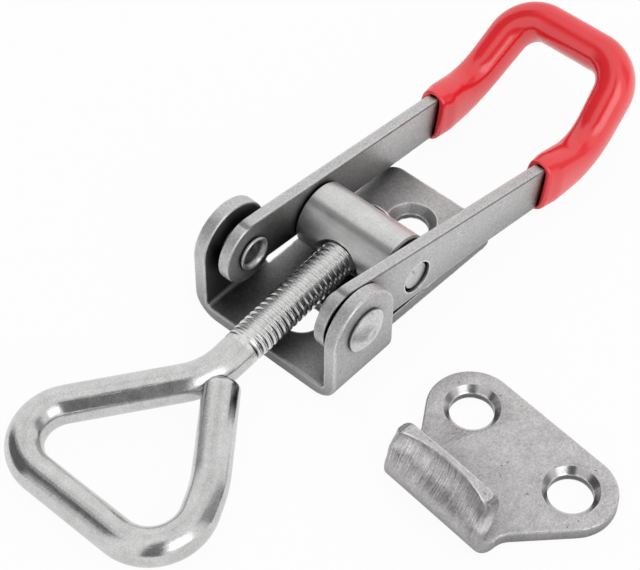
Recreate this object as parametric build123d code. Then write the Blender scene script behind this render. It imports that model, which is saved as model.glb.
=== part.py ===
"""Over-centre toggle latch with an adjustable wire hook and its catch plate.

Frame: millimetres, +Z up. The base lies flat on z = 0, +X runs back towards the hand grip and the
hook reaches out along -X. The origin is the centre of the front mounting hole, on the underside of
the base. The pieces are drawn about the handle pivot, so every x below is measured from the axis of
the two rivets, and main() moves the finished latch onto its origin.
"""

from build123d import *

import math
import os

# ---------------------------------------------------------------- base plate
BASE_SHEET = 2.2            # sheet the base is folded from
BASE_WIDTH = 27.3           # over the outer faces of the ears
BASE_BEND_INSIDE = 0.8      # the two folds are pressed sharp inside
BASE_BEND_OUTSIDE = 4.1     # and are round outside
EAR_RADIUS = 6.3            # round top of each ear, and half its length
PIVOT_HEIGHT = 11.55        # handle rivets above the underside of the base
TONGUE_WIDTH = BASE_WIDTH - 6.3
TONGUE_TAPER = 0.6          # its near side runs in towards the ear by this much
TONGUE_END = 34.4           # rear edge of the tongue, from the pivot
TONGUE_CORNER_RADIUS = 2.5
FRONT_HOLE_RADIUS = 3.45
FRONT_HOLE_X = 1.9
SCREW_HOLE_RADIUS = 2.75    # countersunk screw hole in the tongue
SCREW_SINK_RADIUS = 3.95
SCREW_HOLE_X = 26.8
EDGE_BREAK = 0.3            # tumbled edges of the sheet parts

# ------------------------------------------------------------- handle rivets
RIVET_RADIUS = 2.25
RIVET_HEAD_RADIUS = 3.5
RIVET_HEAD_HEIGHT = 1.5
RIVET_HEAD_RIM = 0.45       # straight rim below the dome
RIVET_TAIL_RADIUS = 2.75    # flared tail inside the arm
RIVET_TAIL_THICKNESS = 0.6
RIVET_BORE_RADIUS = 1.55    # hollow end that the tail is rolled from
RIVET_BORE_DEPTH = 3.2
RUNNING_GAP = 0.08          # radial clearance of the handle on its rivets
FACE_GAP = 0.15             # rivet tail to the arm it holds

# -------------------------------------------------------------------- handle
ARM_THICKNESS = 2.0
HANDLE_PLAY = 2.2           # side play of the arms between the ears, both sides together
ARM_PIVOT_SPACING = BASE_WIDTH - 2 * BASE_SHEET - HANDLE_PLAY  # over the arms, at the rivets
ARM_SPLAY = 2.0             # each arm opens outwards by this angle
ARM_END_RADIUS = 5.3
ARM_TOP_SLOPE = -9.8        # upper edge, falling towards the grip
ARM_NOSE_ANGLE = 210.0      # where the round nose turns into the slanted front cut
ARM_CHIN_RADIUS = 0.4       # between the front cut and the lower edge
HANDLE_OFFSET = -0.4        # the handle sits over towards one ear within its side play
ARM_REACH = 3.1             # the wide arms run this far into the grip, then the strip narrows
GRIP_MOUTH_X = 43.9         # where the arms enter the grip
NEAR_ARM_LOWER_EDGE = ((0.0, -6.05), (0.7 * GRIP_MOUTH_X, -8.2), (GRIP_MOUTH_X, -9.75))  # from the pivot
FAR_ARM_LOWER_EDGE = ((0.0, -3.5), (GRIP_MOUTH_X, -9.75))  # the far arm is the slimmer one
MOUTH_HEIGHT = 5.7          # middle line of the grip at its mouth
STRIP_HEIGHT = 5.2          # height of the strip inside the grip
KNEE_X = GRIP_MOUTH_X + 10.1  # where the legs turn upwards
KNEE_HEIGHT = 4.75
KNEE_RADIUS = 13.0
CROSS_BAR_X = KNEE_X + 11.4
CROSS_BAR_HEIGHT = 13.3
CROSS_BAR_NARROWING = 2.2   # the cross bar is this much shorter than the handle is wide at the mouths
CROSS_BAR_RADIUS = 5.5      # bend between leg and cross bar, on the middle line

# ---------------------------------------------------------------------- grip
GRIP_THICKNESS = 5.75
GRIP_HEIGHT = 7.0
GRIP_MOUTH_HEIGHT = 9.0     # the sleeve opens out towards its mouths
SLEEVE_OVERRUN = 1.5        # the flare ends this far past the knee
SLEEVE_STATIONS = 11        # sections the flare is drawn through
MOUTH_WALL = 0.85
MOUTH_WALL_TOP = 0.5        # thinner above and below the strip
MOUTH_DEPTH = 5.0

# -------------------------------------------------------------------- barrel
BARREL_X = 14.6             # barrel axis, from the pivot
BARREL_HEIGHT = 8.4
BARREL_RADIUS = 5.15
BARREL_PLAY = 1.35          # side play of the barrel between the arms, both sides together
BARREL_ARM_SPACING = ARM_PIVOT_SPACING + 2 * BARREL_X * math.tan(math.radians(ARM_SPLAY))
BARREL_LENGTH = BARREL_ARM_SPACING - 2 * ARM_THICKNESS - BARREL_PLAY
BARREL_CHAMFER = 0.3
TRUNNION_RADIUS = 2.4
TRUNNION_SPAN = BARREL_ARM_SPACING - 0.1  # over the ends of both trunnions, just inside the arms
TRUNNION_CHAMFER = 0.25
TRUNNION_PLAY = 0.25        # the arm holes are larger than the trunnions by this radius
TRUNNION_SEAT = 0.2         # the trunnions lie over to the lower rear of their holes
BARREL_BORE_CHAMFER = 0.5

# ---------------------------------------------------------------------- hook
THREAD_RADIUS = 2.93        # crests of the M6 thread
THREAD_BORE_GAP = 0.07
WIRE_RADIUS = 2.78          # plain bar of the shank and loop
HOOK_SLOPE = 5.46           # the rod falls towards the loop
THREAD_END = 24.3           # end of the thread, along the rod from the barrel axis
ROD_TAIL = 5.0              # rod end behind the barrel axis
ROD_CHAMFER = 0.6           # lead-in at the rod's end, and run-out of the thread
LOOP_START = 32.3           # bend from the shank into the long leg, on the rod's axis
LOOP_FRONT = 58.75          # middle line of the front bar, from the barrel axis
LOOP_FAR_CORNER = 20.7      # corners of the loop, across from the rod's axis
LOOP_NEAR_CORNER = -18.86
SHORT_LEG_BEND = (45.1, -12.56)  # the short leg is bowed here
SHORT_LEG_END = (32.2, -2.9)     # its cut end, against the shank
LOOP_START_RADIUS = 10.5
LOOP_FAR_RADIUS = 6.45
LOOP_NEAR_RADIUS = 6.8
SHORT_LEG_RADIUS = 20.9

# --------------------------------------------------------------- catch plate
CATCH_SHEET = 2.2
CATCH_HOLE_SPACING = 19.2
CATCH_HOLE_RADIUS = 3.25
CATCH_SINK_RADIUS = 4.1
CATCH_LOBE_RADIUS = 6.6     # rounded ends about the holes
CATCH_TAPER_ANGLE = 38.2    # flanks between the lobes and the lip
CATCH_LIP_WIDTH = 18.0
CATCH_LIP_OFFSET = 1.2      # the lip is formed a little off the middle of the holes
CATCH_BEND_RADIUS = 1.0     # inside radius of the fold under the lip
CATCH_TOE = 17.0            # outermost face of the fold, from the hole line
CATCH_LIP_LEAN = 40.0       # the lip leans back over the plate by this angle
CATCH_CURL_RADIUS = 9.6     # the lip curls upright again on this middle-line radius
CATCH_RIM_CROWN = 0.5       # the rim stands higher in the middle than at its ends
CATCH_RIM_CORNER = 2.0
CATCH_LIP_ROUNDING = 0.7    # rubbed-down ends of the lip
CATCH_POSITION = (4.4, -38.9)
CATCH_TURN = -5.9           # the plate lies beside the latch, turned a little


def rod_frame():
    """Plane at the barrel axis: x along the rod towards the loop, y across it, z normal to the loop."""
    slope = math.radians(HOOK_SLOPE)
    along = (-math.cos(slope), 0, -math.sin(slope))
    normal = (math.sin(slope), 0, -math.cos(slope))
    return Plane(origin=(BARREL_X, 0, BARREL_HEIGHT), x_dir=along, z_dir=normal)


def side_plane(y):
    """Vertical plane across Y: sketch x is world x, sketch y is world z."""
    return Plane(origin=(0, y, 0), x_dir=(1, 0, 0), z_dir=(0, -1, 0))


def cylinder_y(radius, y0, y1, x, z):
    """Cylinder along Y between two y values."""
    length = y1 - y0
    return Pos(x, (y0 + y1) / 2, z) * Rot(90, 0, 0) * Cylinder(radius, length)


def countersink(x, y, top, hole_radius, sink_radius, depth):
    """Screw hole with a 90 degree countersink from the top face."""
    sink_depth = sink_radius - hole_radius
    hole = Pos(x, y, top - depth / 2) * Cylinder(hole_radius, depth * 3)
    sink = Pos(x, y, top - sink_depth / 2) * Cone(hole_radius, sink_radius, sink_depth)
    return hole + sink


# ---------------------------------------------------------------- base plate
def base_plate():
    """U-shaped bracket folded from one sheet, with two round ears and a flat tongue."""
    ear_top = PIVOT_HEIGHT + EAR_RADIUS
    half_width = BASE_WIDTH / 2
    outer = Pos(0, ear_top) * Rectangle(BASE_WIDTH, 2 * ear_top)
    outer = fillet(outer.vertices().group_by(Axis.Y)[0], BASE_BEND_OUTSIDE)
    inner_top = 2 * ear_top
    inner = Pos(0, BASE_SHEET + inner_top / 2) * Rectangle(BASE_WIDTH - 2 * BASE_SHEET, inner_top)
    inner = fillet(inner.vertices().group_by(Axis.Y)[0], BASE_BEND_INSIDE)
    section = Plane(origin=(0, 0, 0), x_dir=(0, 1, 0), z_dir=(1, 0, 0)) * (outer - inner)
    channel = extrude(section, EAR_RADIUS, both=True)

    ear_outline = Pos(0, PIVOT_HEIGHT / 2) * Rectangle(2 * EAR_RADIUS, PIVOT_HEIGHT)
    ear_outline += Pos(0, PIVOT_HEIGHT) * Circle(EAR_RADIUS)
    channel &= extrude(side_plane(0) * ear_outline, half_width + 1, both=True)
    front_rim = channel.edges().filter_by(lambda edge: edge.center().X < -0.1)
    channel = fillet(front_rim.filter_by(lambda edge: abs(edge.center().Y) > 0.1 or edge.length > 10), EDGE_BREAK)

    side = TONGUE_WIDTH / 2
    tongue = make_face(Polyline(
        (0, TONGUE_TAPER - side), (EAR_RADIUS, TONGUE_TAPER - side), (TONGUE_END, -side),
        (TONGUE_END, side), (0, side), close=True,
    ))
    tongue = fillet(tongue.vertices().group_by(Axis.X)[-1], TONGUE_CORNER_RADIUS)
    plate = channel + extrude(tongue, BASE_SHEET)
    plate -= Pos(FRONT_HOLE_X, 0, 0) * Cylinder(FRONT_HOLE_RADIUS, 3 * BASE_SHEET)
    plate -= countersink(
        SCREW_HOLE_X, 0, BASE_SHEET, SCREW_HOLE_RADIUS, SCREW_SINK_RADIUS, BASE_SHEET
    )
    plate -= cylinder_y(RIVET_RADIUS, -half_width - 1, half_width + 1, 0, PIVOT_HEIGHT)
    return plate


# ------------------------------------------------------------- handle rivets
def rivet(side):
    """Semi-tubular rivet: domed head outside the ear, rolled tail inside the arm."""
    head_face = BASE_WIDTH / 2
    arm_inner = ARM_PIVOT_SPACING / 2 - ARM_THICKNESS + HANDLE_OFFSET
    tail_outer = arm_inner - FACE_GAP
    tail_inner = tail_outer - RIVET_TAIL_THICKNESS
    dome_top = head_face + RIVET_HEAD_HEIGHT
    rim_top = head_face + RIVET_HEAD_RIM
    bore_end = tail_inner + RIVET_BORE_DEPTH
    tail_radius = RIVET_TAIL_RADIUS
    roll = RIVET_TAIL_THICKNESS / 2
    profile = Polyline(
        (0, dome_top), (0, bore_end), (RIVET_BORE_RADIUS, bore_end - RIVET_BORE_RADIUS / 2),
        (RIVET_BORE_RADIUS, tail_inner),
    )
    tail = Line((RIVET_BORE_RADIUS, tail_inner), (tail_radius - roll, tail_inner))
    tail += ThreePointArc(
        (tail_radius - roll, tail_inner), (tail_radius, tail_inner + roll), (tail_radius - roll, tail_outer)
    )
    tail += Polyline(
        (tail_radius - roll, tail_outer), (RIVET_RADIUS, tail_outer), (RIVET_RADIUS, head_face),
        (RIVET_HEAD_RADIUS, head_face), (RIVET_HEAD_RADIUS, rim_top),
    )
    dome_rise = RIVET_HEAD_HEIGHT - RIVET_HEAD_RIM
    dome_radius = (RIVET_HEAD_RADIUS**2 + dome_rise**2) / (2 * dome_rise)
    middle = RIVET_HEAD_RADIUS / 2
    middle_rise = math.sqrt(dome_radius**2 - middle**2) - (dome_radius - dome_rise)
    dome = ThreePointArc((RIVET_HEAD_RADIUS, rim_top), (middle, rim_top + middle_rise), (0, dome_top))
    half_section = make_face(profile + tail + dome)
    # the sketch's x is the radius and its y runs along the rivet
    plane = Plane(origin=(0, 0, PIVOT_HEIGHT), x_dir=(1, 0, 0), z_dir=(0, 0, 1))
    body = revolve(plane * half_section, Axis((0, 0, PIVOT_HEIGHT), (0, 1, 0)), 360)
    if side < 0:
        body = mirror(body, Plane.XZ)
    return body


# -------------------------------------------------------------------- handle
def arm_outline(lower_edge):
    """Side outline of one arm about the pivot, in the sketch frame of side_plane."""
    top = math.radians(ARM_TOP_SLOPE)
    nose = math.radians(ARM_NOSE_ANGLE)
    reach = GRIP_MOUTH_X + ARM_REACH
    tangent = (-ARM_END_RADIUS * math.sin(top), ARM_END_RADIUS * math.cos(top))
    top_end = (reach, tangent[1] + (reach - tangent[0]) * math.tan(top))
    fall_back = (lower_edge[-1][1] - lower_edge[-2][1]) / (lower_edge[-1][0] - lower_edge[-2][0])
    bottom_end = (reach, lower_edge[-1][1] + ARM_REACH * fall_back)
    nose_point = (ARM_END_RADIUS * math.cos(nose), ARM_END_RADIUS * math.sin(nose))
    cut = (-math.sin(nose), math.cos(nose))
    start = lower_edge[0]
    slope = (lower_edge[1][1] - start[1]) / (lower_edge[1][0] - start[0])
    drop = (nose_point[1] - start[1] - (nose_point[0] - start[0]) * slope) / (cut[0] * slope - cut[1])
    chin = (nose_point[0] + drop * cut[0], nose_point[1] + drop * cut[1])
    plate = make_face(Polyline(
        (0, 0), nose_point, chin, *lower_edge[1:-1], bottom_end, top_end, tangent, close=True
    ))
    plate = fillet(plate.vertices().sort_by_distance(chin)[0], ARM_CHIN_RADIUS)
    return plate + Circle(ARM_END_RADIUS)


def leg_point(x, z, side):
    """Point on the middle of a splayed leg."""
    middle = (ARM_PIVOT_SPACING - ARM_THICKNESS) / 2
    return (x, side * (middle + x * math.tan(math.radians(ARM_SPLAY))), z)


def strip_path():
    """Middle line of the strip from one grip mouth round the cross bar to the other."""
    start = leg_point(GRIP_MOUTH_X, MOUTH_HEIGHT, -1)
    knee = leg_point(KNEE_X, KNEE_HEIGHT, -1)
    corner = (CROSS_BAR_X, start[1] + CROSS_BAR_NARROWING / 2, CROSS_BAR_HEIGHT)
    near = [start, knee, corner]
    far = [(x, -y, z) for x, y, z in reversed(near)]
    return FilletPolyline(*near, *far, radius=[KNEE_RADIUS, CROSS_BAR_RADIUS, CROSS_BAR_RADIUS, KNEE_RADIUS])


def leg_section_plane(path, at):
    """Plane across one of the legs: x across the strip, y along its height."""
    tangent = path.tangent_at(at)
    across = Vector(0, 0, 1).cross(tangent).normalized()
    return Plane(origin=path.position_at(at), x_dir=across, z_dir=tangent)


def arm(side):
    """One flat arm with its rivet hole and trunnion hole, splayed about the pivot."""
    seat = TRUNNION_SEAT / math.sqrt(2)
    lower_edge = NEAR_ARM_LOWER_EDGE if side < 0 else FAR_ARM_LOWER_EDGE
    blank = extrude(side_plane(0) * arm_outline(lower_edge), ARM_THICKNESS / 2, both=True)
    rims = blank.edges().filter_by(lambda edge: abs(edge.center().Y) > ARM_THICKNESS / 2 - 0.01)
    blank = fillet(rims, EDGE_BREAK)
    blank -= cylinder_y(RIVET_RADIUS + RUNNING_GAP, -ARM_THICKNESS, ARM_THICKNESS, 0, 0)
    blank -= cylinder_y(
        TRUNNION_RADIUS + TRUNNION_PLAY, -ARM_THICKNESS, ARM_THICKNESS,
        BARREL_X - seat, BARREL_HEIGHT - PIVOT_HEIGHT + seat,
    )
    middle = side * (ARM_PIVOT_SPACING - ARM_THICKNESS) / 2
    return Pos(0, middle, PIVOT_HEIGHT) * Rot(0, 0, side * ARM_SPLAY) * blank


def handle_bar(path):
    """Two arms and the bent strip between them, all one piece."""
    section = leg_section_plane(path, 0) * Rectangle(ARM_THICKNESS, STRIP_HEIGHT)
    strip = sweep(section, path=path)
    return Pos(0, HANDLE_OFFSET, 0) * (arm(-1) + arm(1) + strip)


def sleeve_section(path, at, height):
    """Outline of the grip across one of its legs, with fully rounded top and bottom."""
    outline = RectangleRounded(GRIP_THICKNESS, height, GRIP_THICKNESS / 2 - 0.05)
    return leg_section_plane(path, at) * outline


def sleeve_leg(path, end, side):
    """Flared length of the grip from one mouth to just past the knee."""
    sections = []
    for step in range(SLEEVE_STATIONS + 1):
        run = step / SLEEVE_STATIONS
        at = run * end
        ease = (1 + math.cos(math.pi * min(1.0, run / 0.85))) / 2
        height = GRIP_HEIGHT + (GRIP_MOUTH_HEIGHT - GRIP_HEIGHT) * ease
        sections.append(sleeve_section(path, at if side < 0 else 1 - at, height))
    return loft(sections)


def grip(path, handle):
    """Thick dipped grip round the strip, with a loose mouth at each leg."""
    knee_end = (path.edges()[0].length + path.edges()[1].length + SLEEVE_OVERRUN) / path.length
    bar = path.trim(knee_end, 1 - knee_end)
    coat = sweep(sleeve_section(path, knee_end, GRIP_HEIGHT), path=bar)
    coat += sleeve_leg(path, knee_end, -1)
    coat += sleeve_leg(path, knee_end, 1)
    pocket = RectangleRounded(
        GRIP_THICKNESS - 2 * MOUTH_WALL,
        GRIP_MOUTH_HEIGHT - 2 * MOUTH_WALL_TOP,
        GRIP_THICKNESS / 2 - MOUTH_WALL - 0.05,
    )
    for end in (0, 1):
        depth = MOUTH_DEPTH if end == 0 else -MOUTH_DEPTH
        coat -= extrude(leg_section_plane(path, end) * pocket, depth)
    return Pos(0, HANDLE_OFFSET, 0) * coat - handle


# -------------------------------------------------------------------- barrel
def barrel():
    """Cross dowel that the hook screws into, turned down to a trunnion at each end."""
    half = BARREL_LENGTH / 2
    body = cylinder_y(BARREL_RADIUS, -half, half, BARREL_X, BARREL_HEIGHT)
    body = chamfer(body.edges().filter_by(GeomType.CIRCLE), BARREL_CHAMFER)
    trunnions = cylinder_y(TRUNNION_RADIUS, -TRUNNION_SPAN / 2, TRUNNION_SPAN / 2, BARREL_X, BARREL_HEIGHT)
    body += chamfer(trunnions.edges().filter_by(GeomType.CIRCLE), TRUNNION_CHAMFER)
    bore_radius = THREAD_RADIUS + THREAD_BORE_GAP
    frame = rod_frame()
    across = Plane(origin=frame.origin, x_dir=frame.y_dir, z_dir=frame.x_dir)
    body -= extrude(across * Circle(bore_radius), 2 * BARREL_RADIUS, both=True)
    mouth = bore_radius + BARREL_BORE_CHAMFER
    for turn in (0, 180):
        cone = Pos(0, 0, BARREL_RADIUS - BARREL_BORE_CHAMFER) * Cone(
            bore_radius, mouth + BARREL_BORE_CHAMFER, 2 * BARREL_BORE_CHAMFER
        )
        body -= across * Rot(turn, 0, 0) * cone
    return body


# ---------------------------------------------------------------------- hook
def hook_rod():
    """Threaded rod and triangular loop bent from one bar; the loop's end stops at the shank."""
    frame = rod_frame()
    points = [
        (THREAD_END - 2, 0), (LOOP_START, 0), (LOOP_FRONT, LOOP_FAR_CORNER),
        (LOOP_FRONT, LOOP_NEAR_CORNER), SHORT_LEG_BEND, SHORT_LEG_END,
    ]
    radii = [LOOP_START_RADIUS, LOOP_FAR_RADIUS, LOOP_NEAR_RADIUS, SHORT_LEG_RADIUS]
    path = frame * FilletPolyline(*points, radius=radii)
    start = Plane(origin=path.position_at(0), x_dir=frame.y_dir, z_dir=path.tangent_at(0))
    loop = sweep(start * Circle(WIRE_RADIUS), path=path)
    across = Plane(origin=frame.origin, x_dir=frame.y_dir, z_dir=frame.x_dir)
    rod = Pos(0, 0, (THREAD_END - ROD_TAIL) / 2) * Cylinder(THREAD_RADIUS, THREAD_END + ROD_TAIL)
    rod = chamfer(rod.edges().filter_by(GeomType.CIRCLE), ROD_CHAMFER)
    return across * rod + loop


# --------------------------------------------------------------- catch plate
def catch_outline():
    """Plan of the flat part: x towards the lip, y along the line of the holes."""
    half_spacing = CATCH_HOLE_SPACING / 2
    taper = math.radians(CATCH_TAPER_ANGLE)
    fold = CATCH_TOE - CATCH_BEND_RADIUS - CATCH_SHEET
    touch = (CATCH_LOBE_RADIUS * math.sin(taper), half_spacing + CATCH_LOBE_RADIUS * math.cos(taper))
    half_lip = CATCH_LIP_WIDTH / 2
    left = half_lip - CATCH_LIP_OFFSET
    right = half_lip + CATCH_LIP_OFFSET

    def flank_meets(y):
        return touch[0] + (touch[1] - y) / math.tan(taper)

    flat = make_face(Polyline(
        (-CATCH_LOBE_RADIUS, -half_spacing), (-CATCH_LOBE_RADIUS, half_spacing),
        (0, half_spacing), touch, (flank_meets(left), left), (fold, left),
        (fold, -right), (flank_meets(right), -right), (touch[0], -touch[1]), (0, -half_spacing),
        close=True,
    ))
    for y in (-half_spacing, half_spacing):
        flat += Pos(0, y) * Circle(CATCH_LOBE_RADIUS)
    return flat


def lip_profile():
    """Side profile of the folded lip: x outwards from the hole line, y up."""
    middle = CATCH_SHEET / 2
    bend = CATCH_BEND_RADIUS + middle
    fold = CATCH_TOE - CATCH_BEND_RADIUS - CATCH_SHEET
    turn = 90 + CATCH_LIP_LEAN
    under = JernArc((fold, middle), (1, 0), bend, turn)
    curl = JernArc(under @ 1, under % 1, CATCH_CURL_RADIUS, -CATCH_LIP_LEAN)
    line = Line((fold - middle, middle), (fold, middle)) + under + curl
    return trace(line, CATCH_SHEET)


def catch_lip():
    """The folded lip, its rim crowned and its ends rubbed round."""
    half = CATCH_LIP_WIDTH / 2
    lip = extrude(side_plane(0) * lip_profile(), half, both=True)
    ends = lip.edges().filter_by(lambda edge: abs(edge.center().Y) > half - 0.01 and edge.center().Z > CATCH_SHEET)
    lip = fillet(ends.filter_by(lambda edge: edge.length > 1.01 * CATCH_SHEET), CATCH_LIP_ROUNDING)
    top = lip.bounding_box().max.Z
    shoulder = top - CATCH_RIM_CROWN
    front = Polyline((-half, shoulder), (-half, -1), (half, -1), (half, shoulder))
    front += ThreePointArc((half, shoulder), (0, top), (-half, shoulder))
    face = make_face(front)
    face = fillet(face.vertices().group_by(Axis.Y)[-1], CATCH_RIM_CORNER)
    lip &= extrude(Plane.YZ * face, 3 * CATCH_TOE, both=True)
    return Pos(0, -CATCH_LIP_OFFSET, 0) * lip


def catch_plate():
    """Screw-down plate whose front edge is folded up into a hooked lip for the loop."""
    plate = extrude(catch_outline(), CATCH_SHEET)
    plate += catch_lip()
    for y in (-CATCH_HOLE_SPACING / 2, CATCH_HOLE_SPACING / 2):
        plate -= countersink(0, y, CATCH_SHEET, CATCH_HOLE_RADIUS, CATCH_SINK_RADIUS, CATCH_SHEET)
    x, y = CATCH_POSITION
    return Pos(x, y, 0) * Rot(0, 0, 180 + CATCH_TURN) * plate


def main():
    os.makedirs("parts", exist_ok=True)
    path = strip_path()
    handle = handle_bar(path)
    nodes = {
        "base_plate": base_plate(),
        "pivot_rivet_near": rivet(-1),
        "pivot_rivet_far": rivet(1),
        "handle_bar": handle,
        "grip": grip(path, handle),
        "barrel": barrel(),
        "hook_rod": hook_rod(),
        "catch_plate": catch_plate(),
    }
    to_origin = Pos(-FRONT_HOLE_X, 0, 0)
    for name, shape in nodes.items():
        export_step(to_origin * shape, f"parts/{name}.step")


main()
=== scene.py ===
# %% [markdown]
# # An over-centre toggle latch in stainless steel
# A folded base carries a lever handle on two rivets. A cross barrel hangs between the lever's
# arms and holds the threaded end of a hook, whose triangular loop catches the separate plate.
# The engineering model gives every piece its true place. Its base, lever and barrel are kept and
# only need a finish. The hook, the plate, the rivets and the grip are drawn again here as smooth
# surfaces, because a thread, a ground hollow, a rolled rim and a dipped sleeve are made of curves
# that a plain solid leaves out.

# %% Load the latch
import math

import bmesh
import bpy
import numpy as np
from mathutils import Matrix, Vector
from mathutils.geometry import tessellate_polygon


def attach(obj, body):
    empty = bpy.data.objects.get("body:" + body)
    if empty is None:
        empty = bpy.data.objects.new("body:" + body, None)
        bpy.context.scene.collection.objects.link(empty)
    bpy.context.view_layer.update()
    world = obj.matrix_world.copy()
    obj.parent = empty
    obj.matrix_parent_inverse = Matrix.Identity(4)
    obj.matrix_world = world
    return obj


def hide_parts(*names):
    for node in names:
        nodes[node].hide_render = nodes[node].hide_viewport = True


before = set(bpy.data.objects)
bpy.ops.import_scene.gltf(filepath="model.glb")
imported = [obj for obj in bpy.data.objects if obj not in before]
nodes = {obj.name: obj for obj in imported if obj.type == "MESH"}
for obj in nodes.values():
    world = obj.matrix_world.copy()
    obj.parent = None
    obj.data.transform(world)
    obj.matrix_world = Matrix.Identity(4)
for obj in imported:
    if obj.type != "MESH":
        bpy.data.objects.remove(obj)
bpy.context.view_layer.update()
MM = 0.001
RIVET_AXIS_X = -1.9             # the rivets' axis in millimetres, from the origin in the front hole

# %% [markdown]
# ## The camera
# A small product is best seen from about 30 cm through a long lens, looking down at 49 degrees.
# The camera is placed on a line of sight through a target on the floor, and its axes come from
# three angles, so that each angle can be turned by hand. A small shift moves the picture without
# tilting it, as a view camera does.

# %% Camera
IMAGE_WIDTH, IMAGE_HEIGHT = 640, 570
AZIMUTH, ELEVATION, ROLL = -49.061, 49.335, 0.968   # degrees
TARGET = (9.319 + RIVET_AXIS_X, 1.280, 0)           # millimetres
DISTANCE = 308.39
FOCAL_PIXELS = 2063.455
AXIS_PIXEL = (328.64, 291.203)                      # where the line of sight meets the picture
SENSOR_WIDTH = 36


def camera_axes(azimuth, elevation, roll):
    """Right, up and back of the camera: back points from the target to the camera, right lies
    level, up is across both, and the roll turns right and up about back."""
    az, el, turn = np.radians([azimuth, elevation, roll])
    back = np.array([math.sin(az) * math.cos(el), -math.cos(az) * math.cos(el), math.sin(el)])
    right = np.cross([0, 0, 1.0], back)
    right /= np.linalg.norm(right)
    up = np.cross(back, right)
    return (
        right * math.cos(turn) + up * math.sin(turn),
        up * math.cos(turn) - right * math.sin(turn),
        back,
    )


right, up, back = camera_axes(AZIMUTH, ELEVATION, ROLL)
camera_place = (np.array(TARGET) + back * DISTANCE) * MM
lens = bpy.data.cameras.new("camera")
lens.sensor_width = SENSOR_WIDTH
lens.lens = FOCAL_PIXELS / IMAGE_WIDTH * SENSOR_WIDTH
lens.shift_x = (IMAGE_WIDTH / 2 - AXIS_PIXEL[0]) / IMAGE_WIDTH
lens.shift_y = (AXIS_PIXEL[1] - IMAGE_HEIGHT / 2) / IMAGE_WIDTH
lens.clip_start, lens.clip_end = 0.01, 20           # metres
camera = bpy.data.objects.new("camera", lens)
bpy.context.scene.collection.objects.link(camera)
axes = np.stack([right, up, back], axis=1)
camera.matrix_world = Matrix.Translation(camera_place.tolist()) @ Matrix(axes.tolist()).to_4x4()
bpy.context.scene.camera = camera
print("lens mm", round(lens.lens, 1), "at mm", np.round(camera_place / MM, 1))

# %% [markdown]
# ## Small helpers for shader nodes
# Every finish below is a little sum worked out at each point of a surface, and a sum needs a few
# nodes that are always wired in the same way. Short functions place them. The view is set to
# Standard first, so that a colour shows as it is written.

# %% Node helpers
scene = bpy.context.scene
scene.view_settings.view_transform = "Standard"


def feed(tree, value, socket):
    """Gives a socket its value: a number, a tuple, or another node's output."""
    if isinstance(value, (int, float, tuple)):
        socket.default_value = value
    else:
        tree.links.new(value, socket)


def math_node(tree, operation, *values, clamp=False):
    """A Math node; each value is a number or another node's output."""
    node = tree.nodes.new("ShaderNodeMath")
    node.operation, node.use_clamp = operation, clamp
    for socket, value in zip(node.inputs, values):
        feed(tree, value, socket)
    return node.outputs[0]


def vector_node(tree, operation, first, second):
    """A Vector Math node, whose answer is its Vector or its Value output."""
    node = tree.nodes.new("ShaderNodeVectorMath")
    node.operation = operation
    feed(tree, first, node.inputs[0])
    feed(tree, second, node.inputs[1])
    return node.outputs


def components(tree, vector):
    """A vector's x, y and z."""
    node = tree.nodes.new("ShaderNodeSeparateXYZ")
    feed(tree, vector, node.inputs[0])
    return node.outputs


def remap(tree, value, low, high, to_low=0.0, to_high=1.0, smooth=False):
    """Takes low..high to to_low..to_high and holds the ends."""
    node = tree.nodes.new("ShaderNodeMapRange")
    node.interpolation_type = "SMOOTHSTEP" if smooth else "LINEAR"
    given = {"Value": value, "From Min": low, "From Max": high, "To Min": to_low, "To Max": to_high}
    for label, number in given.items():
        feed(tree, number, node.inputs[label])
    return node.outputs["Result"]


print("helpers ready")

# %% [markdown]
# ## The studio
# Steel has no look of its own: it shows the room. A product table stands in a white tent, with
# one soft light beside the camera, and with darker gaps where the tent is open: for the lens, and
# between its panels. One world shader can draw that tent. It is white, at a brightness of 1, so
# that a colour comes out as it was set, and each gap or lamp is a patch given by its azimuth, its
# width and its height in degrees. What the camera sees past the table is plain white.

# %% World
world = bpy.data.worlds.new("studio")
scene.world = world
world.use_nodes = True
tree = world.node_tree
room = tree.nodes["Background"]
toward = tree.nodes.new("ShaderNodeTexCoord").outputs["Generated"]
toward_x, toward_y, toward_z = components(tree, toward)
wall_height = math_node(tree, "ARCSINE", toward_z)


def wall_patch(azimuth, half_width, low, high, soft):
    """1 inside a patch of the tent's wall and 0 outside it. The direction is turned until the
    patch lies ahead; its angle to the side and its height are each let through between limits."""
    cosine, sine = math.cos(math.radians(azimuth)), math.sin(math.radians(azimuth))
    ahead = math_node(tree, "MULTIPLY_ADD", toward_x, cosine, math_node(tree, "MULTIPLY", toward_y, sine))
    aside = math_node(tree, "MULTIPLY_ADD", toward_y, cosine, math_node(tree, "MULTIPLY", toward_x, -sine))
    turn = math_node(tree, "ABSOLUTE", math_node(tree, "ARCTAN2", aside, ahead))
    limits = [
        (turn, half_width + soft, half_width - soft),
        (wall_height, low - soft, low + soft),
        (wall_height, high + soft, high - soft),
    ]
    mask = 1.0
    for angle, dark, light in limits:
        edge = remap(tree, angle, math.radians(dark), math.radians(light), smooth=True)
        mask = math_node(tree, "MULTIPLY", edge, mask)
    return mask


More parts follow.
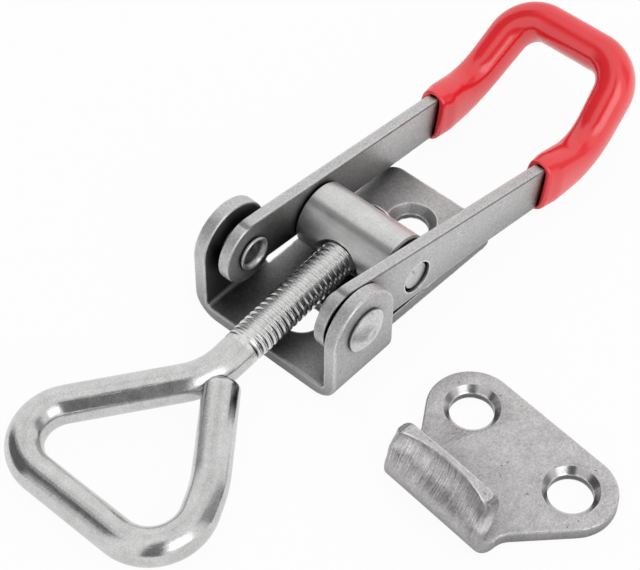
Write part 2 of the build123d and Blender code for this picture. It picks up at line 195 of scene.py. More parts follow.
# azimuth, half width, lowest, highest and softness in degrees, and the brightness there
TENT = {
    "lens_gap": (-141, 15, -12, 76, 4, 0.22),
    "side_gap": (-44, 14, -5, 56, 7, 0.40),
    "rear_gap": (122, 27, -5, 60, 6, 0.16),
    "seam": (37, 73, 58.5, 64, 2.5, 0.78),
    "softbox": (-101, 17, 14, 58, 4, 2.3),
}
level = 1.0
for *outline, bright in TENT.values():
    change = math_node(tree, "MULTIPLY_ADD", wall_patch(*outline), bright - 1.0, 1.0)
    level = math_node(tree, "MULTIPLY", change, level)
path = tree.nodes.new("ShaderNodeLightPath")
to_white = math_node(tree, "SUBTRACT", 1.0, level)
seen = math_node(tree, "MULTIPLY_ADD", path.outputs["Is Camera Ray"], to_white, level)
feed(tree, seen, room.inputs["Color"])
room.inputs["Strength"].default_value = 1.0
print("tent patches", list(TENT))

# %% [markdown]
# ## The table
# The piece lies on a plain white sheet. The camera sees the sheet nearly shadowless, so most of
# what a camera ray gets there is plain white, and a small part is the sheet's own shaded colour,
# which keeps a faint shadow under the piece. Rays mirrored by the steel see the same white.

# %% Floor
FLOOR_HALF = 4.0                # metres
FLOOR_DROP = 0.03               # millimetres below the latch, so that the two never coincide
SHADOW_SHARE = 0.05


def grid_faces(rows, columns, close_columns=False):
    """Quads of a grid of points numbered row by row, as an array of four indices each."""
    i, j = np.meshgrid(
        np.arange(rows - 1), np.arange(columns if close_columns else columns - 1), indexing="ij"
    )
    row, next_row, next_j = i * columns, (i + 1) * columns, (j + 1) % columns
    return np.stack([row + j, row + next_j, next_row + next_j, next_row + j], -1).reshape(-1, 4)


def new_piece(name, points, faces):
    """An object whose mesh has these points, in metres, and these faces, shaded smooth."""
    mesh = bpy.data.meshes.new(name)
    mesh.from_pydata(np.asarray(points).reshape(-1, 3).tolist(), [], [list(f) for f in faces])
    mesh.polygons.foreach_set("use_smooth", np.full(len(mesh.polygons), True))
    mesh.update()
    piece = bpy.data.objects.new(name, mesh)
    scene.collection.objects.link(piece)
    return piece


def new_material(name):
    """A material, its node tree and its Principled BSDF."""
    material = bpy.data.materials.new(name)
    material.use_nodes = True
    return material, material.node_tree, material.node_tree.nodes["Principled BSDF"]


floor_side = np.linspace(-FLOOR_HALF, FLOOR_HALF, 3)
floor_x, floor_y = np.meshgrid(floor_side, floor_side, indexing="ij")
floor_points = np.stack([floor_x, floor_y, np.full_like(floor_x, -FLOOR_DROP * MM)], -1)
floor = new_piece("table", floor_points, grid_faces(3, 3)[:, ::-1])
sheet, tree, cloth = new_material("white_sheet")
cloth.inputs["Base Color"].default_value = (0.86, 0.86, 0.86, 1)
cloth.inputs["Roughness"].default_value = 0.9
cloth.inputs["Specular IOR Level"].default_value = 0.0
glow = tree.nodes.new("ShaderNodeEmission")
mixed = tree.nodes.new("ShaderNodeMixShader")
path = tree.nodes.new("ShaderNodeLightPath")
mirrored = math_node(tree, "MAXIMUM", path.outputs["Is Glossy Ray"], path.outputs["Is Transmission Ray"])
plain = math_node(tree, "MAXIMUM", path.outputs["Is Camera Ray"], mirrored)
feed(tree, math_node(tree, "MULTIPLY", plain, 1 - SHADOW_SHARE), mixed.inputs["Fac"])
feed(tree, cloth.outputs[0], mixed.inputs[1])
feed(tree, glow.outputs[0], mixed.inputs[2])
feed(tree, mixed.outputs[0], tree.nodes["Material Output"].inputs["Surface"])
floor.data.materials.append(sheet)
print("table", len(floor.data.polygons), "faces")

# %% [markdown]
# ## Effects that several finishes share
# Stainless parts of this kind come out of a tumbling barrel: the skin is satin, with a fine
# speckle, a few small pits, and faint clouds. Edges are painted brighter, partly as rubbed wear and
# partly as a painted highlight, and corners get painted shade, which stands in for the steel there
# mirroring its own dim neighbours. Each effect is a node group with its own inputs, built once, so
# that every steel can use it with its own strength.

# %% Node groups
SHADE_PAINT_REACH = 11              # millimetres that a point looks round itself for neighbours, for the painted shade
PIT_TONE, PIT_ROUGH, PIT_DEPTH = 0.45, 0.15, 1.2    # what a pit does to tone, roughness and height
CLOUD_ROUGH = 0.22
FINE_SHARE = 0.75               # of the drawn lines; the rest are broad


def node_group(name, inputs, outputs):
    """An empty group; inputs and outputs give each socket's name and kind in order."""
    group = bpy.data.node_groups.new(name, "ShaderNodeTree")
    for direction, sockets in (("INPUT", inputs), ("OUTPUT", outputs)):
        for label, kind in sockets.items():
            group.interface.new_socket(label, in_out=direction, socket_type="NodeSocket" + kind)
    return group, group.nodes.new("NodeGroupInput"), group.nodes.new("NodeGroupOutput")


def noise(tree, vector, scale, detail, roughness, distortion=0.0):
    """A Noise Texture's value on the given coordinates; scale counts its waves in a metre."""
    node = tree.nodes.new("ShaderNodeTexNoise")
    feed(tree, vector, node.inputs["Vector"])
    given = {"Scale": scale, "Detail": detail, "Roughness": roughness, "Distortion": distortion}
    for label, value in given.items():
        feed(tree, value, node.inputs[label])
    return node.outputs["Fac"]


def swing(tree, field, amount):
    """(field - 1/2) * amount: a noise made to go both ways from 0."""
    return math_node(tree, "MULTIPLY", math_node(tree, "SUBTRACT", field, 0.5), amount)


def stretched(tree, vector, factor):
    """Coordinates whose first one is multiplied by a factor, which draws a pattern out along it."""
    return vector_node(tree, "MULTIPLY", vector, (factor, 1.0, 1.0))["Vector"]


def mix_colour(tree, factor, first, second):
    """Two colours mixed by a factor."""
    node = tree.nodes.new("ShaderNodeMix")
    node.data_type = "RGBA"
    for label, value in (("Factor", factor), ("A", first), ("B", second)):
        feed(tree, (*value, 1) if isinstance(value, tuple) else value, node.inputs[label])
    return node.outputs["Result"]


def tumbled_skin():
    """Satin speckle, clouds, pits and painted shade: Tone multiplies a colour, Rough adds to a
    roughness, and Height is the surface's relief. Shelter is how strongly the colour is darkened
    where neighbours hide the surroundings from a point: a painted shade in corners and recesses."""
    group, given, made = node_group(
        "tumbled_skin",
        {"Vector": "Vector", "Speckle": "Float", "Clouds": "Float", "Pits": "Float", "Shelter": "Float"},
        {"Tone": "Float", "Rough": "Float", "Height": "Float"},
    )
    metre = given.outputs["Vector"]
    grain = noise(group, metre, 3400, 3.0, 0.75)
    cloud = noise(group, metre, 420, 4.0, 0.6, 0.4)
    spots = noise(group, metre, 1500, 2.0, 0.5)
    pit = math_node(group, "MULTIPLY", remap(group, spots, 0.70, 0.80, smooth=True), given.outputs["Pits"])
    speck = swing(group, grain, given.outputs["Speckle"])
    mist = swing(group, cloud, given.outputs["Clouds"])
    tone = math_node(group, "ADD", math_node(group, "ADD", speck, mist), 1.0)
    tone = math_node(group, "MULTIPLY_ADD", pit, -PIT_TONE, tone)
    # painted shade: ambient occlusion darkens the colour in corners and recesses
    corner = group.nodes.new("ShaderNodeAmbientOcclusion")
    corner.samples = 8
    corner.inputs["Distance"].default_value = SHADE_PAINT_REACH * MM
    painted_dark = math_node(group, "SUBTRACT", 1.0, corner.outputs["AO"])
    painted_dark = math_node(group, "MULTIPLY", painted_dark, given.outputs["Shelter"], clamp=True)
    tone = math_node(group, "MULTIPLY", tone, math_node(group, "SUBTRACT", 1.0, painted_dark))
    feed(group, tone, made.inputs["Tone"])
    rough = math_node(group, "MULTIPLY_ADD", pit, PIT_ROUGH, swing(group, cloud, CLOUD_ROUGH))
    feed(group, rough, made.inputs["Rough"])
    height = math_node(group, "MULTIPLY_ADD", pit, -PIT_DEPTH, math_node(group, "MULTIPLY", grain, 0.5))
    feed(group, height, made.inputs["Height"])
    return group


def worn_and_highlit_edge():
    """How near a point is to a sharp edge, from 0 on the flat to 1 on the edge: a rounded copy of
    the surface's normal leans away from the real one there. A noise wears gaps into it. The mask
    paints rims brighter, partly as wear and partly as a painted highlight."""
    group, given, made = node_group("worn_and_highlit_edge", {"Vector": "Vector", "Width": "Float"}, {"Mask": "Float"})
    rounded = group.nodes.new("ShaderNodeBevel")
    rounded.samples = 6
    feed(group, given.outputs["Width"], rounded.inputs["Radius"])
    real = group.nodes.new("ShaderNodeNewGeometry")
    agreement = vector_node(group, "DOT_PRODUCT", rounded.outputs[0], real.outputs["Normal"])["Value"]
    edge = remap(group, agreement, 0.995, 0.95, smooth=True)
    gaps = remap(group, noise(group, given.outputs["Vector"], 700, 3.0, 0.6), 0.30, 0.50)
    feed(group, math_node(group, "MULTIPLY", edge, gaps), made.inputs["Mask"])
    return group


def drawn_lines():
    """Fine lines along one direction, as drawing, rolling or a belt leaves them. The coordinates
    run in metres, and the lines lie along their first axis."""
    group, given, made = node_group(
        "drawn_lines", {"Vector": "Vector", "Strength": "Float"}, {"Tone": "Float", "Height": "Float"}
    )
    fine = noise(group, stretched(group, given.outputs["Vector"], 0.03), 4200, 3.0, 0.7)
    broad = noise(group, stretched(group, given.outputs["Vector"], 0.05), 900, 2.0, 0.5)
    broad = math_node(group, "MULTIPLY", broad, 1 - FINE_SHARE)
    both = math_node(group, "MULTIPLY_ADD", fine, FINE_SHARE, broad)
    tone = math_node(group, "ADD", swing(group, both, given.outputs["Strength"]), 1.0)
    feed(group, tone, made.inputs["Tone"])
    feed(group, both, made.inputs["Height"])
    return group


SKIN, EDGE, LINES = tumbled_skin(), worn_and_highlit_edge(), drawn_lines()
print("groups", [g.name for g in (SKIN, EDGE, LINES)])

# %% [markdown]
# ## The steels
# One function writes a steel from its measures: base colour, roughness, how much speckle, cloud,
# pitting and painted shade the skin has, and how bright its edges are painted, as rubbed wear and
# painted highlight. All are the same metal, and differ by how each piece was made: sheet is
# tumbled, the barrel is turned, the bar is drawn bright. A few short functions paint more from the
# piece's own coordinates: a painted dark reflection band along the barrel, painted dark and light
# reflection bands on the plate's lip, and a hair-thin dark line just under the upper edges of the
# lever's arms.

# %% Painted reflections and a dark line
TURNED_SCALE = 5                # millimetres of map for each radian about a turned piece
# a painted dark reflection band along the barrel
REFLECTION_BAND_ANGLE, REFLECTION_BAND_CORE, REFLECTION_BAND_FADE, REFLECTION_BAND_TONE = 116.5, 2, 11, 0.54     # angles in degrees
# painted reflection: how a formed face is painted darker and lighter in bands along its run, in millimetres
LIP_REFLECTION_SPAN = 20.0
LIP_REFLECTION_TONES = [(6.3, 1.0), (7.8, 0.70), (9.0, 1.15), (10.2, 1.0), (11.6, 0.58), (14.0, 0.50)]
LIP_REFLECTION_RAGGED, LIP_REFLECTION_SLANT = 4, 0.12
DARK_LINE_CORE, DARK_LINE_FADE, DARK_LINE_SHARE = 0.05, 0.17, 0.65            # lengths in millimetres
DARK_LINE_COLOUR = (0.07, 0.07, 0.07)


def distance_from(tree, value, middle):
    """|value - middle|"""
    return math_node(tree, "ABSOLUTE", math_node(tree, "SUBTRACT", value, middle))


def turned_map(tree, metre, axis_x, axis_z):
    """A map that runs lengthwise and about an axis along Y, and the angle about that axis."""
    x, y, z = components(tree, metre)
    aside = math_node(tree, "SUBTRACT", x, axis_x * MM)
    above = math_node(tree, "SUBTRACT", z, axis_z * MM)
    angle = math_node(tree, "ARCTAN2", above, aside)
    join = tree.nodes.new("ShaderNodeCombineXYZ")
    feed(tree, y, join.inputs[0])
    feed(tree, math_node(tree, "MULTIPLY", angle, TURNED_SCALE * MM), join.inputs[1])
    return join.outputs[0], angle


def painted_reflection_band(tree, angle):
    """A tone of 1 round a turned piece, with a painted dark reflection band along it."""
    aside = distance_from(tree, angle, math.radians(REFLECTION_BAND_ANGLE))
    return remap(tree, aside, math.radians(REFLECTION_BAND_CORE), math.radians(REFLECTION_BAND_FADE), REFLECTION_BAND_TONE, 1.0, smooth=True)


def painted_lip_reflection(tree, along):
    """Painted reflection bands: the tone of a formed face by its run, with the limits made ragged and a
    little slanted.
    """
    run, height, _ = components(tree, along)
    ragged = noise(tree, stretched(tree, along, 0.5), 700, 3.0, 0.65)
    reach = math_node(tree, "MULTIPLY_ADD", ragged, LIP_REFLECTION_RAGGED * MM, run)
    reach = math_node(tree, "MULTIPLY_ADD", height, LIP_REFLECTION_SLANT, reach)
    tones = tree.nodes.new("ShaderNodeValToRGB")
    stops = tones.color_ramp.elements
    for reached, tone in LIP_REFLECTION_TONES:
        stop = stops.new(reached / LIP_REFLECTION_SPAN)
        stop.color = (tone, tone, tone, 1)
    stops.remove(stops[0])
    stops.remove(stops[-1])
    feed(tree, math_node(tree, "DIVIDE", reach, LIP_REFLECTION_SPAN * MM), tones.inputs[0])
    return tones.outputs[0]


def thin_dark_line(tree, metre, lean, height):
    """A share that is largest on the line where a plane of that lean (degrees) and height
    (millimetres, along its own normal) cuts the surface, and 0 away from it."""
    normal = (math.sin(math.radians(lean)), 0, math.cos(math.radians(lean)))
    level = vector_node(tree, "DOT_PRODUCT", metre, normal)["Value"]
    aside = distance_from(tree, level, height * MM)
    return remap(tree, aside, DARK_LINE_CORE * MM, DARK_LINE_FADE * MM, DARK_LINE_SHARE, 0.0)


print("painted reflection band at", REFLECTION_BAND_ANGLE, "degrees, smudge over", LIP_REFLECTION_TONES[-1][0], "mm")

# %% Steel materials
# rims painted near white, partly as rubbed wear and partly as a painted highlight
WEAR_AND_HIGHLIGHT, WEAR_AND_HIGHLIGHT_WIDTH, RUBBED_GLOSS = (0.97, 0.965, 0.96), 0.5, 0.10
LINE_DEPTH = 1.5                # of the drawn lines, against the speckle's


def placed_group(tree, group, **values):
    """A group placed in a material, with numbers or outputs for its inputs."""
    node = tree.nodes.new("ShaderNodeGroup")
    node.node_tree = group
    for label, value in values.items():
        feed(tree, value, node.inputs[label])
    return node.outputs


def tinted(tree, colour, tone):
    """A colour multiplied by a tone that is 1 in the middle."""
    node = tree.nodes.new("ShaderNodeVectorMath")
    node.operation = "SCALE"
    feed(tree, colour, node.inputs[0])
    feed(tree, tone, node.inputs["Scale"])
    return node.outputs[0]


def add_relief(tree, shader, height, depth, strength=1.0):
    """A Bump node on the shader; depth is in millimetres."""
    bump = tree.nodes.new("ShaderNodeBump")
    bump.inputs["Strength"].default_value = strength
    bump.inputs["Distance"].default_value = depth * MM
    feed(tree, height, bump.inputs["Height"])
    feed(tree, bump.outputs[0], shader.inputs["Normal"])


def steel(name, colour, roughness, speckle=1.3, clouds=0.35, pits=0.8, relief=0.05, edge=0.75,
          painted_shade=1.2, lines=0.0, worked_from=None, turned_about=None, dark_lined=None):
    """Tumbled or drawn stainless: relief is in millimetres, edge is how much the rims are painted
    brighter, as rubbed wear and painted highlight, and painted_shade is how much painted shade the
    corners get. Lines run along the surface's own map, and where worked_from is given they set in
    between those two runs along it, with the painted reflection bands beyond them. A piece turned
    about an axis along Y, given by its x and z, has its lines lengthwise and the painted dark
    reflection band. A dark_lined piece has the thin dark line of that lean and height."""
    material, tree, shader = new_material(name)
    shader.inputs["Metallic"].default_value = 1.0
    place = tree.nodes.new("ShaderNodeTexCoord")
    metre = place.outputs["Object"]
    skin = placed_group(tree, SKIN, Vector=metre, Speckle=speckle, Clouds=clouds, Pits=pits, Shelter=painted_shade)
    tone, height = skin["Tone"], skin["Height"]
    if lines:
        along, strength = place.outputs["UV"], lines
        if turned_about:
            along, angle = turned_map(tree, metre, *turned_about)
            # painted dark reflection band along the turned piece
            tone = math_node(tree, "MULTIPLY", tone, painted_reflection_band(tree, angle))
        if worked_from:
            first, last = worked_from
            worked = remap(tree, components(tree, along)[0], first * MM, last * MM, smooth=True)
            strength = math_node(tree, "MULTIPLY", worked, lines)
            # painted dark and light reflection bands along the lip's run
            tone = math_node(tree, "MULTIPLY", tone, painted_lip_reflection(tree, along))
        drawn = placed_group(tree, LINES, Vector=along, Strength=strength)
        tone = math_node(tree, "MULTIPLY", tone, drawn["Tone"])
        height = math_node(tree, "MULTIPLY_ADD", drawn["Height"], LINE_DEPTH, height)
    shown = tinted(tree, colour, tone)
    rough = math_node(tree, "ADD", skin["Rough"], roughness)
    if edge:
        # rims painted brighter: partly rubbed wear, partly a painted highlight
        rim = placed_group(tree, EDGE, Vector=metre, Width=WEAR_AND_HIGHLIGHT_WIDTH * MM)["Mask"]
        shown = mix_colour(tree, math_node(tree, "MULTIPLY", rim, edge), shown, WEAR_AND_HIGHLIGHT)
        rough = math_node(tree, "MULTIPLY_ADD", rim, -RUBBED_GLOSS, rough)
    if dark_lined:
        shown = mix_colour(tree, thin_dark_line(tree, metre, *dark_lined), shown, DARK_LINE_COLOUR)
    feed(tree, shown, shader.inputs["Base Color"])
    feed(tree, rough, shader.inputs["Roughness"])
    add_relief(tree, shader, height, relief)
    return material


SHEET_STEEL, RIVET_STEEL = (0.555, 0.549, 0.548), (0.64, 0.635, 0.633)
BARREL_X, BARREL_HEIGHT = 14.6 + RIVET_AXIS_X, 8.4
RIVET_HEIGHT = 11.55
ARM_TOP_LEAN = 9.8                      # degrees by which the arms' upper edge falls to the grip
ARM_RISE, DARK_LINE_DROP = 5.3, 0.18       # from the rivets up to that edge, and down to the dark line
arm_lean = math.radians(ARM_TOP_LEAN)
rivets_level = RIVET_AXIS_X * math.sin(arm_lean) + RIVET_HEIGHT * math.cos(arm_lean)
finishes = {
    "base_plate": steel("base_sheet", SHEET_STEEL, 0.44),
    "handle_bar": steel(
        "handle_sheet", SHEET_STEEL, 0.44, dark_lined=(ARM_TOP_LEAN, rivets_level + ARM_RISE - DARK_LINE_DROP)
    ),
    "catch_plate": steel(
        "catch_sheet", (0.555, 0.541, 0.544), 0.40, clouds=0.7, pits=1.2, lines=3.0, worked_from=(3.5, 5.5)
    ),
    "pivot_rivet_near": steel("rivet_finish", RIVET_STEEL, 0.30, edge=0.0),
    "pivot_rivet_far": steel("rivet_finish_far", RIVET_STEEL, 0.36, edge=0.0, painted_shade=0.6),
    "barrel": steel(
        "turned_steel", (0.66, 0.655, 0.652), 0.38, speckle=0.6, pits=0.4, relief=0.012, edge=0.3,
        painted_shade=0.5, lines=0.45, turned_about=(BARREL_X, BARREL_HEIGHT),
    ),
}
for node, material in finishes.items():
    nodes[node].data.materials.clear()
    nodes[node].data.materials.append(material)
print("steels", sorted(m.name for m in finishes.values()))

# %% [markdown]
# ## The hook bar
# The hook is one round bar: a rolled thread at one end, a short plain shank, and a triangular
# loop whose cut end stops against the shank. It is drawn as a tube: a circle is carried along
# the bar's middle line, which is straight runs joined by arcs, and its radius changes along the
# way. A rolled thread is that radius going up and down once for every pitch while the angle
# turns once, so a helix needs no extra mesh. Its last turns grow shallow, as the rolls leave
# them, and the thread is a little brighter than the drawn bar.

# %% Middle line of the bar
BARREL_AXIS = np.array([BARREL_X, 0, BARREL_HEIGHT])
HOOK_SLOPE = math.radians(5.46)
ALONG = np.array([-math.cos(HOOK_SLOPE), 0, -math.sin(HOOK_SLOPE)])
ACROSS = np.array([0.0, 1.0, 0.0])
LOOP_NORMAL = np.cross(ALONG, ACROSS)
ROD_TAIL = -5.0                 # the threaded end, along the rod from the barrel's axis
# along the rod and across it: the shank's bend, the loop's two corners, and the bow of its short leg
HOOK_CORNERS = [(ROD_TAIL, 0), (32.3, 0), (58.75, 20.7), (58.75, -18.86), (45.1, -12.35), (31.8, -2.1)]
HOOK_RADII = [10.5, 6.45, 6.8, 20.9]


def unit(vectors):
    """Each vector divided by its length."""
    return vectors / np.linalg.norm(vectors, axis=-1, keepdims=True)


def rounded_line(corners, radii, step):
    """Points and unit directions along straight runs joined by arcs. An arc of radius r that
    turns by an angle t touches its two runs r tan(t/2) from their corner."""
    corners = np.asarray(corners, float)
    headings = unit(np.diff(corners, axis=0))
    places, ways, start = [], [], corners[0]

    def straight(end, way):
        """Adds the run from start towards end, without its last point."""
        count = max(2, int(np.linalg.norm(end - start) / step))
        places.append(start + (end - start) * np.linspace(0, 1, count, endpoint=False)[:, None])
        ways.append(np.repeat(way[None], count, 0))

    for corner, way, out, radius in zip(corners[1:], headings, headings[1:], radii):
        bend = math.acos(np.clip(way @ out, -1, 1))
        touch = corner - way * (radius * math.tan(bend / 2))
        straight(touch, way)
        inward = unit(out - way * (way @ out))
        count = max(6, int(radius * bend / (step / 2)))
        a = np.linspace(0, bend, count, endpoint=False)[:, None]
        places.append(touch + way * radius * np.sin(a) + inward * radius * (1 - np.cos(a)))
        ways.append(way * np.cos(a) + inward * np.sin(a))
        start = touch + way * radius * math.sin(bend) + inward * radius * (1 - math.cos(bend))
    straight(corners[-1], headings[-1])
    return np.concatenate([*places, corners[-1:]]), np.concatenate([*ways, headings[-1:]])


def runs_along(line):
    """How far each point is along its line."""
    return np.concatenate([[0], np.cumsum(np.linalg.norm(np.diff(line, axis=0), axis=1))])


def at_runs(runs, line_runs, values):
    """Values known at the points of a line, at other runs along it."""
    return np.stack([np.interp(runs, line_runs, column) for column in values.T], -1)


hook_line, hook_way = rounded_line(HOOK_CORNERS, HOOK_RADII, 0.8)
hook_runs = runs_along(hook_line)
hook_length = hook_runs[-1]
print("bar length in mm", round(hook_length, 1))

# %% Bar with its thread
THREAD_CREST, THREAD_ROOT, PITCH = 2.93, 2.64, 1.05
RIDGE_FOOT, RIDGE_SLOPE = 0.84, 0.60    # as shares of half a pitch from the crest
CREST_FOLD, FOLD_REACH = 0.07, 0.20     # a rolled crest closes from both sides and keeps a fold
THREAD_END = 25.7 - ROD_TAIL            # along the bar, from its threaded end
RUN_OUT, LAST_SHARE, LAST_RUN = 3.4, 0.15, 0.6      # its depth fades, and the last share at once
BAR_RADIUS, SHANK_RADIUS, SHANK_EASE = 2.78, 2.82, 8
END_ROUND, LEAD_IN = 1.2, 0.2           # the cut end's rounding, and the first turn's chamfer
BRIGHT_END = THREAD_END + 0.5           # the thread's finish reaches a little past it
TURN_STEPS, PITCH_STEPS, LOOP_STEP = 96, 20, 0.55

fine_end, round_start = THREAD_END + 1.5, hook_length - END_ROUND      # fine rows draw the thread
end_angle = np.linspace(0, math.pi / 2, 7)[1:]
stations = np.concatenate([
    np.arange(0, fine_end, PITCH / PITCH_STEPS), np.arange(fine_end, round_start, LOOP_STEP),
    [round_start], round_start + END_ROUND * np.sin(end_angle),
])


def smooth_step(x):
    """0 below 0, 1 above 1, and 3x^2 - 2x^3 between."""
    x = np.clip(x, 0, 1)
    return x * x * (3 - 2 * x)


def bar_radius(s, angle):
    """Radius at a run s along the bar and an angle about it. The thread's height is a triangle
    wave of s / pitch - angle / turn with its tip and root rounded, and it dies out at its end.
    The cut end is rounded by a quarter circle."""
    phase = (s / PITCH - angle / (2 * math.pi)) % 1.0
    from_crest = np.abs(2 * phase - 1)
    ridge = smooth_step((RIDGE_FOOT - from_crest) / RIDGE_SLOPE)
    fold = CREST_FOLD * (1 - smooth_step(from_crest / FOLD_REACH))
    threaded = THREAD_ROOT + (THREAD_CREST - THREAD_ROOT) * ridge - fold
    fading = (1 - LAST_SHARE) * smooth_step((THREAD_END - s) / RUN_OUT)
    depth = fading + LAST_SHARE * smooth_step((THREAD_END + LAST_RUN / 2 - s) / LAST_RUN)
    shank = SHANK_RADIUS + (BAR_RADIUS - SHANK_RADIUS) * smooth_step((s - THREAD_END) / SHANK_EASE)
    radius = shank + (threaded - shank) * depth
    lead = np.minimum(radius, THREAD_ROOT - LEAD_IN + s)
    cut = np.clip((s - round_start) / END_ROUND, 0, 1)
    return lead - END_ROUND * (1 - np.sqrt(1 - cut**2))


def hook_surface():
    """Rings about the bar's middle line: middle + radius * (cos a * sideways + sin a * normal)."""
    plane = np.stack([ALONG, ACROSS])
    way = unit(at_runs(stations, hook_runs, hook_way))
    middle = BARREL_AXIS + at_runs(stations, hook_runs, hook_line) @ plane
    sideways = np.stack([-way[:, 1], way[:, 0]], -1) @ plane
    angle = np.linspace(0, 2 * math.pi, TURN_STEPS, endpoint=False)
    s, a = np.meshgrid(stations, angle, indexing="ij")
    radius = bar_radius(s, a)[..., None]
    ring = np.cos(a)[..., None] * sideways[:, None] + np.sin(a)[..., None] * LOOP_NORMAL
    return middle[:, None] + radius * ring, s, a


def tube_faces(rows, columns, first=0):
    """Quads of a tube of rings whose points are numbered from first, and its two end caps."""
    quads = grid_faces(rows, columns, close_columns=True) + first
    caps = [np.arange(columns) + first + row * columns for row in (0, rows - 1)]
    return quads.tolist(), [cap.tolist() for cap in caps]


def at_corners(piece, values):
    """Values of a piece's points, at each corner of its faces."""
    numbers = np.zeros(len(piece.data.loops), np.int64)
    piece.data.loops.foreach_get("vertex_index", numbers)
    return np.ravel(values)[numbers]


def surface_uv(piece, along, around):
    """A map in metres, at each corner of the faces: the first coordinate runs along the piece,
    the second about it."""
    layer = piece.data.uv_layers.new(name="surface")
    layer.data.foreach_set("uv", np.stack([along, around], -1).ravel())


def orient(piece):
    """Turns every face outwards."""
    work = bmesh.new()
    work.from_mesh(piece.data)
    bmesh.ops.recalc_face_normals(work, faces=work.faces)
    work.to_mesh(piece.data)
    work.free()


hook_points, along, around = hook_surface()
quads, caps = tube_faces(len(stations), TURN_STEPS)
hook = new_piece("hook_bar", hook_points * MM, quads + caps)
orient(hook)
# a cosine goes round the bar with no seam
surface_uv(hook, at_corners(hook, along * MM), at_corners(hook, np.cos(around) * BAR_RADIUS * MM))
hook.data.materials.append(steel(
    "drawn_bar", (0.60, 0.596, 0.594), 0.13, speckle=0.7, clouds=0.5, pits=0.4, relief=0.02,
    edge=0.0, painted_shade=0.25, lines=0.22,
))
hook.data.materials.append(steel(
    "rolled_thread", (0.72, 0.715, 0.712), 0.26, speckle=0.7, pits=0.4, relief=0.02, edge=0.0, painted_shade=0.1,
))
face_run = np.concatenate([np.repeat(stations[:-1], TURN_STEPS), [0, hook_length]])
hook.data.polygons.foreach_set("material_index", (face_run < BRIGHT_END).astype(np.int32))
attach(hook, "hook")
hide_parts("hook_rod")
print("hook bar", len(hook.data.polygons), "faces")

# %% [markdown]
# ## The catch plate
# The loop pulls on a separate plate: two lobes with countersunk screw holes, and a front edge
# that is folded up, leant back and curled upright again. The face of that lip is ground hollow,
# so its rim is a narrow land in the middle and as wide as the sheet at its two ends. The flat
# part is an outline with rounded edges and two stepped holes. The lip is the sheet's own section,
# a rounded oblong as wide as the lip, carried up the fold while it changes.

# %% Flat of the catch plate
CATCH_SHEET, CATCH_FOLD, CATCH_ROUND = 2.2, 13.8, 0.3
HOLE_SPACING, LOBE_RADIUS = 19.2, 6.6
HOLE_RADIUS, SINK_RADIUS, SINK_DEPTH, HOLE_STEPS = 3.25, 4.1, 0.9, 72
SINK_EASE, FOOT_EASE = (0.08, 0.06), 0.15       # width and depth of the eased rim, and the foot's
TAPER = math.radians(38.2)
NEAR_END, FAR_END = 7.8, -10.2      # the lip's ends, from the middle of the holes
END_FLARE = 0.5                     # the near end is wider at the fold
NEAR_NECK, FAR_NECK = 3.4, 4.5      # radii between the flanks and the lip's ends


def flank_meets(y):
    """Where the sloping flank, tangent to the lobe, reaches a distance y from the middle."""
    touch = LOBE_RADIUS * math.sin(TAPER), HOLE_SPACING / 2 + LOBE_RADIUS * math.cos(TAPER)
    return touch[0] + (touch[1] - abs(y)) / math.tan(TAPER)


def catch_outline():
    """Open outline of the flat from the lip's near end round both lobes to its far end, one row
    for each level from top to bottom. The edge's rounding draws the rows in by r (1 - cos a) and
    sets them r (1 - sin a) below the top, and the same above the bottom."""
    lobe_corner = HOLE_SPACING / 2 + LOBE_RADIUS * math.tan((math.pi / 2 + TAPER) / 2)
    near = NEAR_END + END_FLARE
    corners = [
        (CATCH_FOLD, near), (flank_meets(near), near), (-LOBE_RADIUS, lobe_corner),
        (-LOBE_RADIUS, -lobe_corner), (flank_meets(FAR_END), FAR_END), (CATCH_FOLD, FAR_END),
    ]
    line, way = rounded_line(corners, [NEAR_NECK, LOBE_RADIUS, LOBE_RADIUS, FAR_NECK], 0.5)
    inward = np.stack([-way[:, 1], way[:, 0]], -1)
    a = np.radians([90, 60, 30, 0])
    drawn_in, lowered = CATCH_ROUND * (1 - np.cos(a)), CATCH_ROUND * (1 - np.sin(a))
    inset = np.concatenate([drawn_in, drawn_in[::-1]])
    level = np.concatenate([CATCH_SHEET - lowered, lowered[::-1]])
    flat = line[None] + inset[:, None, None] * inward[None]
    return np.concatenate([flat, np.broadcast_to(level[:, None, None], flat.shape[:2] + (1,))], -1)


def countersunk_hole(middle):
    """The hole's wall, revolved: an eased rim, the countersink, the bore and its eased foot."""
    radius, level = np.array([
        (SINK_RADIUS + SINK_EASE[0], CATCH_SHEET), (SINK_RADIUS, CATCH_SHEET - SINK_EASE[1]),
        (HOLE_RADIUS, CATCH_SHEET - SINK_DEPTH), (HOLE_RADIUS, FOOT_EASE), (HOLE_RADIUS + FOOT_EASE, 0),
    ]).T[..., None]
    turn = np.linspace(0, 2 * math.pi, HOLE_STEPS, endpoint=False)
    x, y = radius * np.cos(turn), radius * np.sin(turn) + middle
    return np.stack([x, y, np.broadcast_to(level, x.shape)], -1)


